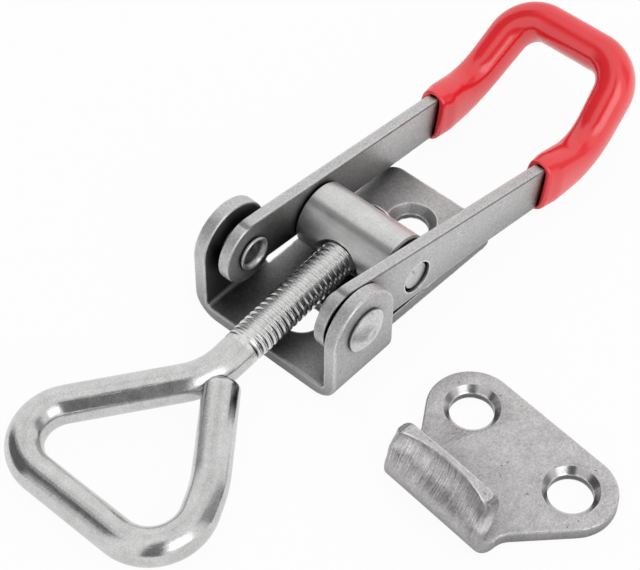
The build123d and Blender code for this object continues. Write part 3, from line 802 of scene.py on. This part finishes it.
surfaces = [catch_outline(), countersunk_hole(HOLE_SPACING / 2), countersunk_hole(-HOLE_SPACING / 2)]
flat_points = np.concatenate([surface.reshape(-1, 3) for surface in surfaces])
firsts = np.cumsum([0] + [surface[..., 0].size for surface in surfaces])
rim, *holes = [
    np.arange(surface[..., 0].size).reshape(surface.shape[:2]) + first
    for surface, first in zip(surfaces, firsts)
]
wall_faces = grid_faces(*rim.shape).tolist()
hole_start = len(wall_faces)
for hole in holes:
    wall_faces += (grid_faces(*hole.shape, close_columns=True)[:, ::-1] + hole[0, 0]).tolist()
hole_end = len(wall_faces)
flat_faces = []
for row in (0, -1):
    loops = [rim[row]] + [hole[row] for hole in holes]
    triangles = tessellate_polygon([[Vector(flat_points[k]) for k in loop] for loop in loops])
    flat_faces += np.concatenate(loops)[np.array(triangles)].tolist()
flat_faces.append(rim[:, 0].tolist() + rim[::-1, -1].tolist())
print("catch flat", len(flat_points), "points", len(wall_faces) + len(flat_faces), "faces")

# %% Hooked lip of the catch plate
FOLD_MIDDLE, LEAN, CURL_MIDDLE = 2.1, math.radians(36), 9.6
FOLD_RUN = FOLD_MIDDLE * (math.pi / 2 + LEAN)
LIP_RUN = FOLD_RUN + CURL_MIDDLE * LEAN
HOLLOW, HOLLOW_START, HOLLOW_POWER = 1.2, 0.8 * FOLD_RUN, 2.4
END_BULGE, BULGE_START = 0.9, 3.2
RIM_CROWN, RIM_CORNER, RIM_ROUND = 0.3, 0.9, 0.12
FLARE_RUN = 3.5                     # the near end's flare is gone after this run
WORN_ROUND, WORN_RUN = 0.45, 5      # the ends get this much rounder over this run
RISING_STEPS, ACROSS_STEPS, CORNER_STEPS = 60, 48, 5


def lip_middle(s):
    """The sheet's middle line after a run s from the fold: an arc that turns up and back, then a
    wide arc that turns upright. Gives x, z and the line's angle."""
    first = np.minimum(s, FOLD_RUN) / FOLD_MIDDLE
    second = np.maximum(s - FOLD_RUN, 0) / CURL_MIDDLE
    steep = math.pi / 2 + LEAN
    x = CATCH_FOLD + FOLD_MIDDLE * np.sin(first) + CURL_MIDDLE * (np.sin(steep) - np.sin(steep - second))
    z = CATCH_SHEET / 2 + FOLD_MIDDLE * (1 - np.cos(first))
    return x, z + CURL_MIDDLE * (np.cos(steep - second) - np.cos(steep)), first - second


def lip_surface():
    """Sections of the sheet across the lip. Each is an oblong with round corners, walked along
    the inner face, round the far end, back along the outer face and round the near end. The outer
    face is drawn in by hollow * (1 - |y|^2.4) towards the rim, and bulges by what |y|^2.4 leaves
    half way up, so the ends stay round outside."""
    # along the lip: its runs, its two ends, and how its section changes
    rim_angle = np.radians([30, 60, 90])
    rim_start = LIP_RUN - RIM_ROUND
    s = np.concatenate([np.linspace(0, rim_start, RISING_STEPS), rim_start + RIM_ROUND * np.sin(rim_angle)])
    draw_in = np.concatenate([np.zeros(RISING_STEPS), RIM_ROUND * (1 - np.cos(rim_angle))])
    from_rim = np.clip(1 - (LIP_RUN - s) / RIM_CORNER, 0, 1)
    corner = RIM_CORNER * (1 - np.sqrt(1 - from_rim**2))
    near = NEAR_END + END_FLARE * (1 - smooth_step(s / FLARE_RUN)) - corner - draw_in
    far = FAR_END + corner + draw_in
    round_end = CATCH_ROUND + WORN_ROUND * smooth_step(s / WORN_RUN)
    half = CATCH_SHEET / 2 - draw_in
    up_bulge = np.clip((s - BULGE_START) / (LIP_RUN - BULGE_START), 0, 1)
    bulge = (END_BULGE * np.sin(np.pi * up_bulge) ** 2)[:, None]
    hollow = (HOLLOW * smooth_step((s - HOLLOW_START) / (LIP_RUN - HOLLOW_START)))[:, None]
    # across the lip: y along its width and n through the sheet, for every section
    share = np.linspace(1, -1, ACROSS_STEPS)
    to_end = np.abs(share) ** HOLLOW_POWER
    quarter = np.radians(np.linspace(90, 0, CORNER_STEPS + 1)[1:])
    reach = ((near - far) / 2 - round_end)[:, None]
    middle = ((near + far) / 2)[:, None]
    inner_y, inner_n = middle + reach * share, np.repeat(half[:, None], ACROSS_STEPS, 1)
    outer_n = -inner_n + hollow * (1 - to_end) - bulge * to_end
    rise = np.minimum(half, round_end)[:, None]
    core = half[:, None] - rise
    bow_y, bow_n = round_end[:, None] * np.cos(quarter), rise * np.sin(quarter)
    end_y = reach + np.concatenate([bow_y, bow_y[:, ::-1]], 1)
    end_n = np.concatenate([core + bow_n, -core - bow_n[:, ::-1] - bulge], 1)
    y = np.concatenate([inner_y, middle - end_y, inner_y[:, ::-1], middle + end_y[:, ::-1]], 1)
    n = np.concatenate([inner_n, end_n, outer_n[:, ::-1], end_n[:, ::-1]], 1)
    # the sections stand across the middle line, and the rim is crowned along it
    x0, z0, angle = lip_middle(s[:, None])
    from_middle = 2 * (y - middle) / (near - far)[:, None]
    crown = RIM_CROWN * (1 - from_middle**2) * (s[:, None] / LIP_RUN) ** 3
    x = x0 - np.sin(angle) * n + np.cos(angle) * crown
    z = z0 + np.cos(angle) * n + np.sin(angle) * crown
    return np.stack([x, y, z], -1), s


lip_points, lip_run = lip_surface()
lip_rows, lip_columns = lip_points.shape[:2]
lip_quads, lip_caps = tube_faces(lip_rows, lip_columns, first=len(flat_points))
print("lip", lip_rows, "sections of", lip_columns, "points, mm along it", round(LIP_RUN, 1))

# %% Catch plate laid down
CATCH_PLACE, CATCH_TURN = (4.4 + RIVET_AXIS_X, -38.9, 0), math.radians(180 - 5.9)
FLAT_RUN = -10                      # the map's run on the flat, clear of what starts at the fold
SHARP_ANGLE = math.radians(38)

plate_points = np.concatenate([flat_points, lip_points.reshape(-1, 3)])
cosine, sine = math.cos(CATCH_TURN), math.sin(CATCH_TURN)
laid = plate_points @ np.array([(cosine, sine, 0), (-sine, cosine, 0), (0, 0, 1)]) + CATCH_PLACE
curved_faces = wall_faces + lip_quads
catch = new_piece("catch_hook_plate", laid * MM, curved_faces + flat_faces + lip_caps)
orient(catch)
number = np.arange(len(catch.data.polygons))
is_curved = number < len(curved_faces)
catch.data.polygons.foreach_set("use_smooth", is_curved)
catch.data.set_sharp_from_angle(angle=SHARP_ANGLE)
run_map = np.concatenate([np.full(len(flat_points), FLAT_RUN), np.repeat(lip_run, lip_columns)]) * MM
corner_counts = np.zeros(len(number), np.int32)
catch.data.polygons.foreach_get("loop_total", corner_counts)
run_there = at_corners(catch, run_map)
run_there[np.repeat(~is_curved, corner_counts)] = FLAT_RUN * MM
surface_uv(catch, run_there, at_corners(catch, plate_points[:, 1] * MM))
catch.data.materials.append(finishes["catch_plate"])
catch.data.materials.append(steel("countersunk_cut", (0.56, 0.552, 0.55), 0.2, speckle=0.6, relief=0.015))
in_hole = (number >= hole_start) & (number < hole_end)
catch.data.polygons.foreach_set("material_index", in_hole.astype(np.int32))
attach(catch, "base")
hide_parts("catch_plate")
print("catch plate", len(number), "faces, top at", round(float(plate_points[:, 2].max()), 2), "mm")

# %% [markdown]
# ## The rivets
# A semi-tubular rivet is a stud with a domed head and a hollow end. The hollow end is pushed
# through ear and arm and rolled outwards, so it shows as a thin bright ring whose bore opens like
# a bell. It is a revolved shape: one profile, given as radius against run along the rivet, is
# carried round the axis. The head has a shallow dent where the punch held it.

# %% Rolled rivets
# runs go outwards from the latch's middle plane
TAIL_RUN, TAIL_BACK, HEAD_RUN, DOME_RUN = 7.2, 7.8, 13.65, 15.15
HEAD_RADIUS, HEAD_RIM, HEAD_EASE, SHANK, TAIL_RADIUS = 3.5, 0.45, 0.05, 2.25, 2.75
BORE_RADIUS, BORE_RUN, BORE_FLOOR = 1.9, 9.6, [(0.2, 10.3), (1.2, 10.2), (1.75, 9.9)]
DENT, DENT_RADIUS = 0.16, 1.3
RIVET_STEPS, BELL_STEPS, RING_STEPS, DOME_STEPS = 72, 14, 12, 26
RIVETS = {"pivot_rivet_near": ("rolled_rivet_near", -1), "pivot_rivet_far": ("rolled_rivet_far", 1)}


def rivet_profile():
    """Radius and run from the bore's floor out to the dome's top: a bell mouth
    r = bore + opening * t^5, a half round lip, the stud, and a dome r^2 + (y + drop)^2 = R^2 less
    its dent."""
    t = np.linspace(0, 1, BELL_STEPS)
    lip_half = (TAIL_BACK - TAIL_RUN) / 2
    opening = TAIL_RADIUS - lip_half - BORE_RADIUS
    bell = np.stack([BORE_RADIUS + opening * t**5, BORE_RUN - (BORE_RUN - TAIL_RUN) * t], -1)
    a = np.linspace(math.pi / 2, -math.pi / 2, RING_STEPS)[1:]
    lip = np.stack([TAIL_RADIUS - lip_half * (1 - np.cos(a)), TAIL_RUN + lip_half * (1 - np.sin(a))], -1)
    stud = [
        (SHANK, TAIL_BACK), (SHANK, HEAD_RUN), (HEAD_RADIUS - HEAD_EASE, HEAD_RUN),
        (HEAD_RADIUS, HEAD_RUN + HEAD_EASE),
    ]
    rise = DOME_RUN - HEAD_RUN - HEAD_RIM
    ball = (HEAD_RADIUS**2 + rise**2) / (2 * rise)
    # from just inside the head's edge to almost the axis, where the end cap closes the dome
    out = HEAD_RADIUS * np.cos(np.linspace(0.02, math.pi / 2 - 0.03, DOME_STEPS))
    dent = DENT * (1 - smooth_step(out / DENT_RADIUS))
    dome = np.stack([out, DOME_RUN - ball + np.sqrt(ball**2 - out**2) - dent], -1)
    return np.concatenate([BORE_FLOOR, bell, lip, stud, dome])


radius, run = rivet_profile().T[..., None]
turn = np.linspace(0, 2 * math.pi, RIVET_STEPS, endpoint=False)
across, upward = radius * np.cos(turn) + RIVET_AXIS_X, radius * np.sin(turn) + RIVET_HEIGHT
quads, caps = tube_faces(len(run), RIVET_STEPS)
for node, (name, side) in RIVETS.items():
    rivet_points = np.stack([across, np.broadcast_to(side * run, across.shape), upward], -1)
    stud = new_piece(name, rivet_points * MM, quads + caps)
    orient(stud)
    stud.data.materials.append(finishes[node])
    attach(stud, "base")
    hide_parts(node)
    print(name, len(stud.data.polygons), "faces")

# %% [markdown]
# ## The grip
# The handle's end was dipped in red vinyl, or had a moulded sleeve pulled over it: a thick soft
# skin, tall and loose at its two mouths and closer round the bend. It is one surface: a rounded
# oblong is carried along the strip's middle line, its height easing from mouth to bend. At each
# mouth the surface rolls over a lip, drops into a shallow groove and runs back inside as a pocket
# round the steel. Vinyl is one even red under a smooth gloss, so its finish is the simplest here.

# %% Line of the grip
HANDLE_OFFSET = -0.4
LEG_MIDDLE = 9.35               # from the handle's middle to an arm's middle, at the rivets
ARM_SPLAY = math.radians(2.0)
NEAR_START, FAR_START = (42.6, 5.82), (43.5, 5.74)      # along the handle, and height
KNEE, BAR = (54.0, 4.75), (65.9, 13.4)
BAR_HALF = 9.78
KNEE_BEND, BAR_BEND = 13.0, 5.5


def leg_corner(place, side):
    """A corner of the strip's middle line on one leg, at a place along the handle and up."""
    x, z = place
    return x, side * (LEG_MIDDLE + x * math.tan(ARM_SPLAY)), z


def carried_height(way):
    """The section's height direction, carried along the line with the least twist: it starts
    upright, and at each step loses only its part along the new direction."""
    height = np.zeros_like(way)
    current = np.array([0, 0, 1.0])
    for k, d in enumerate(way):
        current = unit(current - d * (current @ d))
        height[k] = current
    return height


grip_corners = [leg_corner(NEAR_START, -1), leg_corner(KNEE, -1), (BAR[0], -BAR_HALF, BAR[1]),
                (BAR[0], BAR_HALF, BAR[1]), leg_corner(KNEE, 1), leg_corner(FAR_START, 1)]
grip_line, grip_way = rounded_line(grip_corners, [KNEE_BEND, BAR_BEND, BAR_BEND, KNEE_BEND], 0.7)
grip_line = grip_line + [RIVET_AXIS_X, HANDLE_OFFSET, 0]
grip_up = carried_height(grip_way)
grip_runs = runs_along(grip_line)
grip_length = grip_runs[-1]
print("grip length in mm", round(grip_length, 1))

# %% Skin of the grip
GRIP_THICKNESS, GRIP_HEIGHT, MOUTH_HEIGHT, MOUTH_EASE = 5.75, 7.0, 9.0, 13.5
BAR_SWELL, SWELL_START, SWELL_RUN = 0.3, 14, 8      # the skin is thicker on the cross bar
MOUTH_PULL, PULL_RUN = 0.5, 3.2                     # and drawn in towards its mouths
MOUTH_LEAN, LEAN_RUN = 0.08, 4                      # and its mouths are cut on a slight slant
MOUTH_LIP, MOUTH_GROOVE, POCKET_DEPTH, POCKET_INSET = 0.5, 0.12, 0.7, 1.7
PULL_IN_HEIGHT = 0.4                                # the mouths pull in less from above and below
SIDE_POWER, PARTING = 0.92, 3.2                     # how square the sides are, and how soon halves part
OBLONG_STEPS, SKIN_STEPS, LIP_STEPS, POCKET_STEPS = 88, 230, 11, 8


def oblong(width, height):
    """Rounded oblongs about 0, one row for each width and height: a circle walked by angle, whose
    upper and lower halves are moved apart by what the height exceeds the width."""
    t = np.linspace(0, 2 * math.pi, OBLONG_STEPS, endpoint=False)[None]
    half_width, half_height = width[:, None] / 2, height[:, None] / 2
    apart = (half_height - half_width) * np.tanh(PARTING * np.sin(t)) / math.tanh(PARTING)
    x = half_width * np.sign(np.cos(t)) * np.abs(np.cos(t)) ** SIDE_POWER
    return x, half_width * np.sin(t) + apart


def grip_rows():
    """Run along the line, and inset from the outer skin, for every row: up the pocket, over the
    lip and along the skin, and then the same backwards at the other mouth."""
    a = np.linspace(0, math.pi, LIP_STEPS)[1:-1]
    lip_run = np.where(a < math.pi / 2, MOUTH_GROOVE, MOUTH_LIP) * (1 - np.sin(a))
    pocket_run = np.linspace(POCKET_DEPTH, MOUTH_GROOVE, POCKET_STEPS)
    mouth_run = np.concatenate([[POCKET_DEPTH], pocket_run, lip_run])
    pocket_inset = np.full(POCKET_STEPS, 2 * MOUTH_LIP)
    mouth_inset = np.concatenate([[POCKET_INSET], pocket_inset, MOUTH_LIP * (1 + np.cos(a))])
    skin = np.linspace(MOUTH_LIP, grip_length - MOUTH_LIP, SKIN_STEPS)
    run = np.concatenate([mouth_run, skin, grip_length - mouth_run[::-1]])
    return run, np.concatenate([mouth_inset, np.zeros(SKIN_STEPS), mouth_inset[::-1]])


def grip_surface():
    """Oblong sections along the grip's line, each drawn in by its row's inset: middle + x * across
    + z * lift, and the sections near a mouth lean along the line by z."""
    run, inset = grip_rows()
    middle = at_runs(run, grip_runs, grip_line)
    way = unit(at_runs(run, grip_runs, grip_way))
    lift = at_runs(run, grip_runs, grip_up)
    lift = unit(lift - way * np.sum(lift * way, 1, keepdims=True))
    across = np.cross(lift, way)
    from_mouth = np.minimum(run, grip_length - run)
    ease = (1 + np.cos(np.pi * np.clip(from_mouth / MOUTH_EASE, 0, 1))) / 2
    pull = MOUTH_PULL * (1 - smooth_step(from_mouth / PULL_RUN))
    swell = BAR_SWELL * smooth_step((from_mouth - SWELL_START) / SWELL_RUN)
    width = GRIP_THICKNESS + swell - 2 * (pull + inset)
    height = GRIP_HEIGHT + (MOUTH_HEIGHT - GRIP_HEIGHT) * ease + swell - PULL_IN_HEIGHT * pull - inset
    x, z = oblong(width, height)
    toward_mouth = np.where(run < grip_length / 2, -1.0, 1.0) * (1 - smooth_step(from_mouth / LEAN_RUN))
    shift = -MOUTH_LEAN * z * toward_mouth[:, None]
    points = middle[:, None] + x[..., None] * across[:, None] + z[..., None] * lift[:, None]
    return points + shift[..., None] * way[:, None]


grip_points = grip_surface()
quads, caps = tube_faces(len(grip_points), OBLONG_STEPS)
grip = new_piece("grip_sleeve", grip_points * MM, quads + caps)
orient(grip)
print("grip", len(grip.data.polygons), "faces")

# %% Red vinyl
def vinyl():
    """Red dipped vinyl: one even bright red under a smooth gloss, with the faintest waves."""
    material, tree, shader = new_material("red_vinyl")
    metre = tree.nodes.new("ShaderNodeTexCoord").outputs["Object"]
    cloud = remap(tree, noise(tree, metre, 200, 3.0, 0.5), 0.35, 0.65)
    colour = mix_colour(tree, cloud, (0.86, 0.012, 0.021), (0.93, 0.019, 0.031))
    feed(tree, colour, shader.inputs["Base Color"])
    shader.inputs["Specular IOR Level"].default_value = 1.0
    rough = remap(tree, noise(tree, metre, 700, 2.0, 0.5), 0.3, 0.7, 0.15, 0.20)
    feed(tree, rough, shader.inputs["Roughness"])
    add_relief(tree, shader, noise(tree, metre, 160, 1.0, 0.4), depth=0.03, strength=0.5)
    return material


grip.data.materials.append(vinyl())
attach(grip, "handle")
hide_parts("grip")
print("vinyl on", grip.name)
